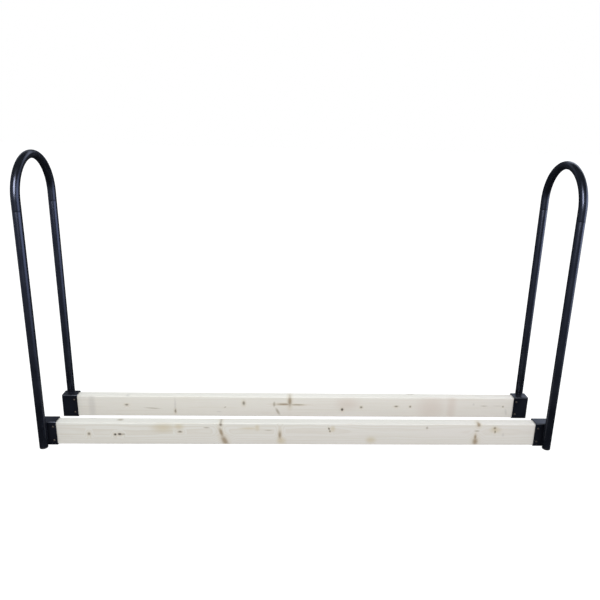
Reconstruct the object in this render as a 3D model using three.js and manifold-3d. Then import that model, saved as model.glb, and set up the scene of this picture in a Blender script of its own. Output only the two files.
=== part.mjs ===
// Firewood log rack: two bent-tube end frames joined by two timber rails on edge.
//
// Units are millimetres and +Z is up. The origin is on the floor plane, under the middle of the rack.
// +X runs along the rails, from the left end frame to the right one, and +Y runs from front to back.
// Each end frame is a round tube bow pushed into two round tube legs. A sheet-steel sleeve is welded to
// the inner side of each leg, a rail is pushed into each pair of sleeves, and wood screws hold it there.

import * as THREE from 'three';
import { mergeVertices } from 'three/addons/utils/BufferGeometryUtils.js';
import Module from 'manifold-3d';

const wasm = await Module();
wasm.setup();

// ---------------------------------------------------------------------------------------------------
// Driving dimensions
// ---------------------------------------------------------------------------------------------------

// Timber rails: dressed two-by-four, set on edge.
const BOARD_LENGTH = 1930;
const BOARD_THICKNESS = 38.1;
const BOARD_HEIGHT = 88.9;
const BOARD_EDGE_RADIUS = 4;

// End frames.
const FRAME_HEIGHT = 1080; // floor to the crown of the bow
const LEG_SPACING = 290; // front leg axis to rear leg axis
const TUBE_RADIUS = 15;
const TUBE_WALL = 1.5;

// Push-fit joint between the bow and a leg.
const BOW_STRAIGHT = 32; // full-width straight tube under the bend
const SPIGOT_TAPER = 4; // swaged shoulder
const SPIGOT_LENGTH = 40; // part of the bow inside the leg

// Sleeves that hold the rails.
const SLEEVE_LENGTH = 60; // along the rail
const SLEEVE_SHEET = 2.5;
const SLEEVE_CORNER_RADIUS = 4; // outside of the folded corners
const SLEEVE_SIDE_PLAY = 1; // between the rail and each side of the sleeve
const SLEEVE_TOP_PLAY = 2.7; // between the rail and the sleeve's top plate
const BOARD_END_SETBACK = 4; // rail's end inside the sleeve's outer end

// Wood screws.
const SCREW_SHANK_RADIUS = 2.3;
const SCREW_SHANK_LENGTH = 25;
const SCREW_POINT_LENGTH = 6;
const SCREW_HEAD_RADIUS = 4.4;
const SCREW_HEAD_HEIGHT = 3;
const SCREW_SPACING = 56; // upper screw to lower screw
const SCREW_INSET = 11; // from the sleeve's inner end

// Plastic plugs in the feet of the legs.
const PLUG_FLANGE = 5; // height of the flange under the tube
const PLUG_CHAMFER = 1;
const PLUG_STEM = 22; // length inside the tube
const PLUG_WALL = 2;
const PLUG_RIB_COUNT = 2;
const PLUG_RIB_HEIGHT = 1.2;
const PLUG_RIB_DEPTH = 0.7;

// Fillet welds in the two grooves between a leg and its sleeve.
const WELD_FACE_WIDTH = 8; // along the sleeve, out from the root of the groove
const WELD_TUBE_ANGLE = 48; // degrees round the leg, from where it meets the sleeve
const WELD_CROWN = 0.8; // how far the bead's face bulges
const WELD_END_MARGIN = 2; // from the sleeve's top, and from the leg's cut end

// Clearances.
const FIT_GAP = 0.3; // between two pieces that touch
const SCREW_HOLE_CLEARANCE = 0.5; // round a screw's shank, in the sheet
const PILOT_DEPTH_CLEARANCE = 1; // past a screw's point, in the rail

// Mesh resolution.
const TUBE_SEGMENTS = 24;
const BEND_STEPS = 16;
const HOLE_SEGMENTS = 12;
const CORNER_SEGMENTS = 2;
const WELD_ARC_STEPS = 4;

// ---------------------------------------------------------------------------------------------------
// Derived sizes and places
// ---------------------------------------------------------------------------------------------------

const tubeInnerRadius = TUBE_RADIUS - TUBE_WALL;
const bendRadius = LEG_SPACING / 2;
const bendCentreZ = FRAME_HEIGHT - TUBE_RADIUS - bendRadius;
const bendHalfLength = bendRadius * Math.PI / 2;
const spigotRadius = tubeInnerRadius - FIT_GAP;
const legTopZ = bendCentreZ - BOW_STRAIGHT - SPIGOT_TAPER - FIT_GAP;
const legBottomZ = PLUG_FLANGE + FIT_GAP;
const weldBottomZ = legBottomZ + WELD_END_MARGIN;

const sleeveInnerDepth = BOARD_THICKNESS + 2 * SLEEVE_SIDE_PLAY;
const sleeveInnerHeight = FIT_GAP + BOARD_HEIGHT + SLEEVE_TOP_PLAY;
const sleeveDepth = sleeveInnerDepth + 2 * SLEEVE_SHEET;
const sleeveHeight = sleeveInnerHeight + 2 * SLEEVE_SHEET;
const weldTopZ = sleeveHeight - WELD_END_MARGIN;
const boardBottomZ = SLEEVE_SHEET + FIT_GAP;

const sleeveOuterX = BOARD_LENGTH / 2 + BOARD_END_SETBACK;
const sleeveInnerX = sleeveOuterX - SLEEVE_LENGTH;
const frameX = sleeveOuterX - TUBE_RADIUS; // a sleeve's outer end is flush with its leg
const legY = LEG_SPACING / 2;
const sleeveY = legY - TUBE_RADIUS - FIT_GAP - sleeveDepth / 2;

const screwX = sleeveInnerX + SCREW_INSET;
const screwHeights = {
  lower: (sleeveHeight - SCREW_SPACING) / 2,
  upper: (sleeveHeight + SCREW_SPACING) / 2,
};
const screwSeatY = -sleeveDepth / 2 - FIT_GAP; // underside of a head, from the rail's mid plane

const ENDS = { left: -1, right: 1 };
const ROWS = { front: -1, rear: 1 };

// ---------------------------------------------------------------------------------------------------
// Materials
// ---------------------------------------------------------------------------------------------------

function powderCoat() {
  return new THREE.MeshStandardMaterial({ color: 0x15181e, roughness: 0.36, metalness: 0.1 });
}

function whitewood() {
  return new THREE.MeshStandardMaterial({ color: 0xe2d8c4, roughness: 0.72, metalness: 0 });
}

function blackPlastic() {
  return new THREE.MeshStandardMaterial({ color: 0x101114, roughness: 0.55, metalness: 0 });
}

function zincPlate() {
  return new THREE.MeshStandardMaterial({ color: 0xa9a8a2, roughness: 0.35, metalness: 0.9 });
}

// ---------------------------------------------------------------------------------------------------
// Solids
// ---------------------------------------------------------------------------------------------------

// Welds a geometry's shared vertices, which leaves only positions.
function weldVertices(geometry) {
  const bare = geometry.clone();
  bare.deleteAttribute('normal');
  bare.deleteAttribute('uv');
  return mergeVertices(bare);
}

function toSolid(geometry) {
  const welded = weldVertices(geometry);
  return new wasm.Manifold(new wasm.Mesh({
    numProp: 3,
    vertProperties: new Float32Array(welded.attributes.position.array),
    triVerts: new Uint32Array(welded.index.array),
  }));
}

function toGeometry(solid) {
  const cut = solid.getMesh();
  const geometry = new THREE.BufferGeometry();
  geometry.setAttribute('position', new THREE.BufferAttribute(cut.vertProperties, 3));
  geometry.setIndex(new THREE.BufferAttribute(cut.triVerts, 1));
  geometry.computeVertexNormals();
  return geometry;
}

// Cuts every tool geometry out of the body.
function cutAway(body, tools) {
  const remaining = tools.reduce((solid, tool) => solid.subtract(toSolid(tool)), toSolid(body));
  return toGeometry(remaining);
}

function namedMesh(name, geometry, material) {
  const mesh = new THREE.Mesh(geometry, material);
  mesh.name = name;
  return mesh;
}

// A solid of revolution about Z. The profile is a list of [radius, height], anticlockwise.
function turned(profile, segments) {
  const points = profile.map(([radius, height]) => new THREE.Vector2(radius, height));
  return new THREE.LatheGeometry(points, segments).rotateX(Math.PI / 2);
}

// A round tube standing on Z, from one height to another.
function straightTube(outerRadius, wall, bottomZ, topZ) {
  const innerRadius = outerRadius - wall;
  return turned([
    [innerRadius, bottomZ],
    [outerRadius, bottomZ],
    [outerRadius, topZ],
    [innerRadius, topZ],
    [innerRadius, bottomZ],
  ], TUBE_SEGMENTS);
}

// Traces a rectangle with round corners, centred at the origin, into a shape or a path.
function traceRoundedRectangle(path, width, height, radius) {
  const x = width / 2 - radius;
  const y = height / 2 - radius;
  path.moveTo(-x, -y - radius);
  path.lineTo(x, -y - radius);
  path.absarc(x, -y, radius, -Math.PI / 2, 0, false);
  path.absarc(x, y, radius, 0, Math.PI / 2, false);
  path.absarc(-x, y, radius, Math.PI / 2, Math.PI, false);
  path.absarc(-x, -y, radius, Math.PI, 3 * Math.PI / 2, false);
  return path;
}

// Extrudes a section drawn in Y and Z along X, centred on X = 0.
function extrudeAlongX(section, length) {
  const options = { depth: length, bevelEnabled: false, curveSegments: CORNER_SEGMENTS };
  const toX = new THREE.Matrix4().makeBasis(
    new THREE.Vector3(0, 1, 0),
    new THREE.Vector3(0, 0, 1),
    new THREE.Vector3(1, 0, 0),
  );
  return new THREE.ExtrudeGeometry(section, options).translate(0, 0, -length / 2).applyMatrix4(toX);
}

// A drill: a cylinder along Y between two depths, at one X and Z.
function drillAlongY(radius, x, fromY, toY, z) {
  const drill = new THREE.CylinderGeometry(radius, radius, toY - fromY, HOLE_SEGMENTS);
  return drill.translate(x, (fromY + toY) / 2, z);
}

// ---------------------------------------------------------------------------------------------------
// End frame tubes
// ---------------------------------------------------------------------------------------------------

// Places along the bow's straight blank, from one end to the other, with its outside radius at each.
function bowStations() {
  const shoulder = bendHalfLength + BOW_STRAIGHT;
  const neck = shoulder + SPIGOT_TAPER;
  const tip = neck + SPIGOT_LENGTH;
  const bend = Array.from({ length: BEND_STEPS + 1 }, (_, step) => ({
    along: bendHalfLength * (2 * step / BEND_STEPS - 1),
    radius: TUBE_RADIUS,
  }));
  return [
    { along: -tip, radius: spigotRadius },
    { along: -neck, radius: spigotRadius },
    { along: -shoulder, radius: TUBE_RADIUS },
    ...bend,
    { along: shoulder, radius: TUBE_RADIUS },
    { along: neck, radius: spigotRadius },
    { along: tip, radius: spigotRadius },
  ];
}

// Bends a blank that lies along Y into an arch: a half circle over two straight ends.
function bendIntoArch(geometry) {
  const vertices = geometry.attributes.position;
  for (let i = 0; i < vertices.count; i += 1) {
    const along = vertices.getY(i);
    const reach = bendRadius + vertices.getZ(i);
    const turn = THREE.MathUtils.clamp(along, -bendHalfLength, bendHalfLength) / bendRadius;
    const drop = Math.max(0, Math.abs(along) - bendHalfLength);
    vertices.setY(i, reach * Math.sin(turn));
    vertices.setZ(i, bendCentreZ + reach * Math.cos(turn) - drop);
  }
  geometry.computeVertexNormals();
  return geometry;
}

function bowGeometry() {
  const stations = bowStations();
  const outside = stations.map(({ along, radius }) => new THREE.Vector2(radius, along));
  const inside = stations.map(({ along, radius }) => new THREE.Vector2(radius - TUBE_WALL, along));
  const profile = [...outside, ...inside.reverse(), outside[0].clone()];
  return bendIntoArch(new THREE.LatheGeometry(profile, TUBE_SEGMENTS));
}

function legGeometry() {
  return straightTube(TUBE_RADIUS, TUBE_WALL, legBottomZ, legTopZ);
}

// A plug with a flange under the tube and a ribbed, hollow stem inside it.
function footPlugGeometry() {
  const ribRadius = tubeInnerRadius - FIT_GAP;
  const stemRadius = ribRadius - PLUG_RIB_DEPTH;
  const boreRadius = stemRadius - PLUG_WALL;
  const topZ = PLUG_FLANGE + PLUG_STEM;
  const ribPitch = PLUG_STEM / (PLUG_RIB_COUNT + 1);
  const ribs = Array.from({ length: PLUG_RIB_COUNT }, (_, rib) => PLUG_FLANGE + (rib + 1) * ribPitch);
  return turned([
    [0, 0],
    [TUBE_RADIUS - PLUG_CHAMFER, 0],
    [TUBE_RADIUS, PLUG_CHAMFER],
    [TUBE_RADIUS, PLUG_FLANGE],
    [stemRadius, PLUG_FLANGE],
    ...ribs.flatMap((ribZ) => [
      [stemRadius, ribZ - PLUG_RIB_HEIGHT],
      [ribRadius, ribZ],
      [stemRadius, ribZ + PLUG_RIB_HEIGHT],
    ]),
    [stemRadius, topZ],
    [boreRadius, topZ],
    [boreRadius, PLUG_FLANGE],
    [0, PLUG_FLANGE],
  ], TUBE_SEGMENTS);
}

// ---------------------------------------------------------------------------------------------------
// Sleeves and their welds
// ---------------------------------------------------------------------------------------------------

// A folded sleeve centred on X = 0 and Y = 0, standing on Z = 0, with screw holes near its +X end.
function sleeveGeometry() {
  const bend = Math.max(SLEEVE_CORNER_RADIUS, SLEEVE_SHEET);
  const section = traceRoundedRectangle(new THREE.Shape(), sleeveDepth, sleeveHeight, bend);
  const innerBend = Math.max(bend - SLEEVE_SHEET, FIT_GAP);
  const bore = traceRoundedRectangle(new THREE.Path(), sleeveInnerDepth, sleeveInnerHeight, innerBend);
  section.holes.push(bore);
  const sleeve = extrudeAlongX(section, SLEEVE_LENGTH).translate(0, 0, sleeveHeight / 2);
  const holeRadius = SCREW_SHANK_RADIUS + SCREW_HOLE_CLEARANCE;
  const holeX = SLEEVE_LENGTH / 2 - SCREW_INSET;
  const drills = Object.values(screwHeights).map((z) => (
    drillAlongY(holeRadius, holeX, -sleeveDepth, sleeveDepth, z)
  ));
  return cutAway(sleeve, drills);
}

// A bead in the groove between a leg and a sleeve, on the +X or the -X side. The leg's axis is at
// X = 0 and the sleeve's face is at Y = 0, with the leg on its +Y side.
function weldGeometry(side) {
  const axisY = TUBE_RADIUS + FIT_GAP;
  const beadRadius = TUBE_RADIUS + FIT_GAP;
  const onLeg = (angle) => [beadRadius * Math.sin(angle), axisY - beadRadius * Math.cos(angle)];
  const rootAngle = Math.acos((axisY - FIT_GAP) / beadRadius);
  const toeAngle = THREE.MathUtils.degToRad(WELD_TUBE_ANGLE);
  const [rootX, rootY] = onLeg(rootAngle);
  const [toeX, toeY] = onLeg(toeAngle);
  const plateToeX = rootX + WELD_FACE_WIDTH;
  const outward = new THREE.Vector2(toeY - rootY, plateToeX - toeX).normalize();
  const crownX = (plateToeX + toeX) / 2 + WELD_CROWN * outward.x;
  const crownY = (rootY + toeY) / 2 + WELD_CROWN * outward.y;
  const arc = Array.from({ length: WELD_ARC_STEPS }, (_, step) => (
    onLeg(THREE.MathUtils.lerp(toeAngle, rootAngle, step / WELD_ARC_STEPS))
  ));
  const outline = [[rootX, rootY], [plateToeX, rootY], [crownX, crownY], ...arc];
  const section = new THREE.Shape(outline.map(([x, y]) => new THREE.Vector2(side * x, y)));
  const options = { depth: weldTopZ - weldBottomZ, bevelEnabled: false };
  return new THREE.ExtrudeGeometry(section, options).translate(0, 0, weldBottomZ);
}

// ---------------------------------------------------------------------------------------------------
// Rails and screws
// ---------------------------------------------------------------------------------------------------

// A rail centred on X = 0 and Y = 0, at its own height, with blind pilot holes in its front face.
function boardGeometry() {
  const section = traceRoundedRectangle(new THREE.Shape(), BOARD_THICKNESS, BOARD_HEIGHT, BOARD_EDGE_RADIUS);
  const board = extrudeAlongX(section, BOARD_LENGTH).translate(0, 0, boardBottomZ + BOARD_HEIGHT / 2);
  const pilotRadius = SCREW_SHANK_RADIUS + FIT_GAP;
  const pilotEndY = screwSeatY + SCREW_SHANK_LENGTH + PILOT_DEPTH_CLEARANCE;
  const pilots = Object.values(ENDS).flatMap((side) => (
    Object.values(screwHeights).map((z) => drillAlongY(pilotRadius, side * screwX, -sleeveDepth, pilotEndY, z))
  ));
  return cutAway(board, pilots);
}

// A pan-head wood screw along Y: the underside of its head is at Y = 0 and its point is towards +Y.
function screwGeometry() {
  const points = [
    [0, -SCREW_HEAD_HEIGHT],
    [0.55 * SCREW_HEAD_RADIUS, -SCREW_HEAD_HEIGHT],
    [0.9 * SCREW_HEAD_RADIUS, -0.7 * SCREW_HEAD_HEIGHT],
    [SCREW_HEAD_RADIUS, -0.3 * SCREW_HEAD_HEIGHT],
    [SCREW_HEAD_RADIUS, 0],
    [SCREW_SHANK_RADIUS, 0],
    [SCREW_SHANK_RADIUS, SCREW_SHANK_LENGTH - SCREW_POINT_LENGTH],
    [0, SCREW_SHANK_LENGTH],
  ].map(([radius, along]) => new THREE.Vector2(radius, along));
  return new THREE.LatheGeometry(points, HOLE_SEGMENTS);
}

// ---------------------------------------------------------------------------------------------------
// Assembly
// ---------------------------------------------------------------------------------------------------

// The two beads between a leg and its sleeve, one towards the rack's middle and one away from it.
// They are drawn for a leg behind its sleeve, and turned half round for one in front.
function addWelds(frame, name, inward, row) {
  for (const [place, side] of Object.entries({ inner: inward, outer: -inward })) {
    const weld = namedMesh(`${name}_weld_${place}`, weldGeometry(side * row), powderCoat());
    weld.rotation.z = row > 0 ? 0 : Math.PI;
    weld.position.y = row * (sleeveY + sleeveDepth / 2);
    frame.add(weld);
  }
}

function addCorner(frame, name, inward, row) {
  const leg = namedMesh(`${name}_leg`, legGeometry(), powderCoat());
  leg.position.y = row * legY;
  const plug = namedMesh(`${name}_foot_plug`, footPlugGeometry(), blackPlastic());
  plug.position.y = row * legY;
  const sleeve = namedMesh(`${name}_sleeve`, sleeveGeometry(), powderCoat());
  sleeve.rotation.z = inward > 0 ? 0 : Math.PI;
  sleeve.position.set(inward * (SLEEVE_LENGTH / 2 - TUBE_RADIUS), row * sleeveY, 0);
  frame.add(leg, plug, sleeve);
  addWelds(frame, name, inward, row);
}

function addScrews(rack, name, side, row) {
  for (const [level, z] of Object.entries(screwHeights)) {
    const screw = namedMesh(`${name}_${level}_screw`, screwGeometry(), zincPlate());
    screw.position.set(side * screwX, row * sleeveY + screwSeatY, z);
    rack.add(screw);
  }
}

function endFrame(end, side) {
  const frame = new THREE.Group();
  frame.position.x = side * frameX;
  frame.add(namedMesh(`${end}_bow`, bowGeometry(), powderCoat()));
  for (const [rowName, row] of Object.entries(ROWS)) {
    addCorner(frame, `${end}_${rowName}`, -side, row);
  }
  return frame;
}

function buildRack() {
  const rack = new THREE.Group();
  for (const [end, side] of Object.entries(ENDS)) {
    rack.add(endFrame(end, side));
    for (const [rowName, row] of Object.entries(ROWS)) {
      addScrews(rack, `${end}_${rowName}`, side, row);
    }
  }
  for (const [rowName, row] of Object.entries(ROWS)) {
    const board = namedMesh(`${rowName}_board`, boardGeometry(), whitewood());
    board.position.y = row * sleeveY;
    rack.add(board);
  }
  return rack;
}

const rack = buildRack();

export default rack;
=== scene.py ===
"""Finished look of a firewood log rack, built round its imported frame.

A hoop of black powder-coated tube stands at each end of the rack: a bow pushed into two legs. A sheet-steel
sleeve is welded to the inner side of each leg, and a whitewood rail on edge is screwed into each pair of
sleeves.

Units are metres. +Z is up, +X runs along the rails from the left hoop to the right one, and +Y runs from
front to back. Places and outer sizes are read from the frame, and each class adds its pieces' fine sizes.
"""

import logging
import math
import random
from collections.abc import Sequence
from dataclasses import dataclass
from enum import Enum

import bmesh
import bpy
from mathutils import Matrix, Vector


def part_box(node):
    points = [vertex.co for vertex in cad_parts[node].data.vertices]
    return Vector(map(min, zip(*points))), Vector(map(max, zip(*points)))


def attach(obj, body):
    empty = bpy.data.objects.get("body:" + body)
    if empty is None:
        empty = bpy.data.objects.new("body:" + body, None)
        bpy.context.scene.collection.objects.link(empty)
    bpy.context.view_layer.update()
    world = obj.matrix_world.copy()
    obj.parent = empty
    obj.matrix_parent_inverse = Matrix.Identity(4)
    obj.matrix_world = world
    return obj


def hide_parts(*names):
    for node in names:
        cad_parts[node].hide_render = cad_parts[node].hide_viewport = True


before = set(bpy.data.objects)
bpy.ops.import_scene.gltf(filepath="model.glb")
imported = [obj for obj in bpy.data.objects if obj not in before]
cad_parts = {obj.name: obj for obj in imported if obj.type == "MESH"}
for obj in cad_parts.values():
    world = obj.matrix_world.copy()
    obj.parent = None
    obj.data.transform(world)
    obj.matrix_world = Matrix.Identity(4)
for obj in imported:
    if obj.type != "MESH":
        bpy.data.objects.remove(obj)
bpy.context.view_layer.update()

MM = 0.001
BODY = "root"

Colour = tuple[float, float, float]
Triple = tuple[float, float, float]
Socket = bpy.types.NodeSocket
Piece = bpy.types.Object
EditMesh = bmesh.types.BMesh
Ring = list[Vector]

log = logging.getLogger("log_rack")


class End(Enum):
    """An end of the rack. The value is its side of the middle, along X."""

    LEFT = -1
    RIGHT = 1

    @property
    def label(self) -> str:
        """The end's name, as the nodes use it."""
        return self.name.lower()


class Row(Enum):
    """A row of legs with its rail. The value is its side of the middle, along Y."""

    FRONT = -1
    REAR = 1

    @property
    def label(self) -> str:
        """The row's name, as the nodes use it."""
        return self.name.lower()


class Groove(Enum):
    """The side of a leg that a weld bead runs down. The value is its direction from the leg to the middle."""

    INNER = 1
    OUTER = -1


class Level(Enum):
    """A screw's place in its sleeve."""

    LOWER = "lower"
    UPPER = "upper"


class Mark(Enum):
    """What a mark in the wood is; SHADOW also serves for a shadow painted on the wood."""

    BLACK_KNOT = "black_knot"
    GREY_KNOT = "grey_knot"
    BROWN_KNOT = "brown_knot"
    STREAK = "streak"
    STAIN = "stain"
    BLUSH = "blush"
    SHADOW = "shadow"


# ------------------------------------------------------------------------------------------------------------
# Mesh work
# ------------------------------------------------------------------------------------------------------------


@dataclass(frozen=True)
class Corner:
    """A corner of an outline, with the radius that its edge is eased to."""

    x: float
    y: float
    ease: float = 0.0

    @property
    def place(self) -> Vector:
        """The corner as a flat vector."""
        return Vector((self.x, self.y))


def eased(outline: Sequence[Corner], closed: bool, steps: int = 4) -> list[Vector]:
    """Rounds the corners of an outline with true arcs.

    Args:
        outline: The corners in order.
        closed: Whether the last corner joins the first. The two ends of an open outline stay as they are.
        steps: The number of straight pieces in each arc.

    Returns:
        The rounded outline's points.
    """
    points = []
    for index, corner in enumerate(outline):
        at_end = not closed and index in (0, len(outline) - 1)
        if at_end or corner.ease == 0.0:
            points.append(corner.place)
            continue
        before = outline[index - 1].place - corner.place
        after = outline[(index + 1) % len(outline)].place - corner.place
        half_angle = before.angle(after) / 2
        cut = min(corner.ease / math.tan(half_angle), 0.49 * before.length, 0.49 * after.length)
        start = corner.place + cut * before.normalized()
        stop = corner.place + cut * after.normalized()
        middle = (before.normalized() + after.normalized()).normalized()
        centre = corner.place + middle * (cut / math.cos(half_angle))
        radius = (start - centre).length
        for step in range(steps + 1):
            spoke = (start - centre).lerp(stop - centre, step / steps)
            points.append(centre + radius * spoke.normalized())
    return points


def rounded_box(half_width: float, half_height: float, ease: float, steps: int) -> list[Vector]:
    """Draws a rectangle about the origin, with its corners rounded.

    Args:
        half_width: Half its size along x.
        half_height: Half its size along y.
        ease: The radius of its corners.
        steps: The number of straight pieces in each corner.

    Returns:
        The outline's points.
    """
    signs = ((-1, -1), (1, -1), (1, 1), (-1, 1))
    return eased([Corner(x * half_width, y * half_height, ease) for x, y in signs], True, steps)


def divided(points: Sequence[Vector], longest: float) -> list[Vector]:
    """Splits the edges of a closed outline so that none is longer than a limit.

    Args:
        points: The outline's points.
        longest: The greatest length of an edge.

    Returns:
        The outline's points, with the new ones between them.
    """
    result = []
    for index, point in enumerate(points):
        ahead = points[(index + 1) % len(points)]
        count = max(1, math.ceil((ahead - point).length / longest))
        result += [point.lerp(ahead, step / count) for step in range(count)]
    return result


def loft(rings: Sequence[Sequence[Vector]], closed: bool = False) -> EditMesh:
    """Stretches a skin over rings of points that all have the same count, or one point for a pole.

    Args:
        rings: The rings in order.
        closed: Whether the last ring joins the first. Otherwise each open end gets a flat face.

    Returns:
        The closed mesh.
    """
    mesh = bmesh.new()
    rows = [[mesh.verts.new(point) for point in ring] for ring in rings]
    pairs = list(zip(rows, rows[1:]))
    if closed:
        pairs.append((rows[-1], rows[0]))
    for lower, upper in pairs:
        count = max(len(lower), len(upper))
        for index in range(count):
            ahead = (index + 1) % count
            corners = (
                lower[index % len(lower)],
                lower[ahead % len(lower)],
                upper[ahead % len(upper)],
                upper[index % len(upper)],
            )
            mesh.faces.new(list(dict.fromkeys(corners)))
    if not closed:
        for end in (rows[0], rows[-1]):
            if len(end) > 1:
                mesh.faces.new(end)
    bmesh.ops.recalc_face_normals(mesh, faces=mesh.faces)
    return mesh


def turned(profile: Sequence[Vector], segments: int, closed: bool = False) -> EditMesh:
    """Turns a profile about Z.

    Args:
        profile: Points whose x is the radius and y the height. A radius of zero makes a pole.
        segments: The number of points in each ring.
        closed: Whether the profile closes on itself, as a tube's does.

    Returns:
        The turned mesh.
    """
    return loft([circle(point.x, point.y, segments) for point in profile], closed)


def circle(radius: float, height: float, segments: int) -> Ring:
    """Draws a level circle about Z.

    Args:
        radius: The circle's radius. Zero gives a single point.
        height: Its height.
        segments: The number of points.

    Returns:
        The points.
    """
    if radius <= 0.0:
        return [Vector((0.0, 0.0, height))]
    angles = [2 * math.pi * index / segments for index in range(segments)]
    return [Vector((radius * math.cos(angle), radius * math.sin(angle), height)) for angle in angles]


def shade(data: bpy.types.Mesh, fold_degrees: float = 32.0) -> None:
    """Smooths a mesh's faces, except across folds sharper than an angle.

    Args:
        data: The mesh.
        fold_degrees: The sharpest fold that still looks smooth.
    """
    data.polygons.foreach_set("use_smooth", [True] * len(data.polygons))
    data.set_sharp_from_angle(angle=math.radians(fold_degrees))


def to_object(name: str, mesh: EditMesh, place: Vector = Vector()) -> Piece:
    """Makes a scene object from an edit mesh.

    Args:
        name: The object's name.
        mesh: The edit mesh, which is freed.
        place: The object's origin.

    Returns:
        The object.
    """
    data = bpy.data.meshes.new(name)
    mesh.to_mesh(data)
    mesh.free()
    shade(data)
    piece = bpy.data.objects.new(name, data)
    piece.location = place
    bpy.context.scene.collection.objects.link(piece)
    return piece


def carve(piece: Piece, cutters: Sequence[EditMesh]) -> None:
    """Cuts solids out of a piece and keeps the result as its mesh.

    Args:
        piece: The piece.
        cutters: The solids, in the piece's own coordinates.
    """
    tools = [to_object("cutter", cutter, piece.location) for cutter in cutters]
    for tool in tools:
        cut = piece.modifiers.new("cut", "BOOLEAN")
        cut.operation = "DIFFERENCE"
        cut.solver = "EXACT"
        cut.object = tool
    view = bpy.context.evaluated_depsgraph_get()
    carved = bpy.data.meshes.new_from_object(piece.evaluated_get(view))
    piece.modifiers.clear()
    piece.data = carved
    shade(carved)
    for tool in tools:
        bpy.data.objects.remove(tool)


def drill(radius: float, start: Vector, stop: Vector, segments: int = 24) -> EditMesh:
    """Makes the solid that a drill would cut between two points.

    Args:
        radius: The drill's radius.
        start: One end of its axis.
        stop: The other end.
        segments: The number of sides.

    Returns:
        The cutter.
    """
    length = (stop - start).length
    mesh = loft([circle(radius, 0.0, segments), circle(radius, length, segments)])
    turn = (stop - start).to_track_quat("Z", "Y").to_matrix().to_4x4()
    mesh.transform(Matrix.Translation(start) @ turn)
    return mesh


# ------------------------------------------------------------------------------------------------------------
# Finishes
# ------------------------------------------------------------------------------------------------------------


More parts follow.
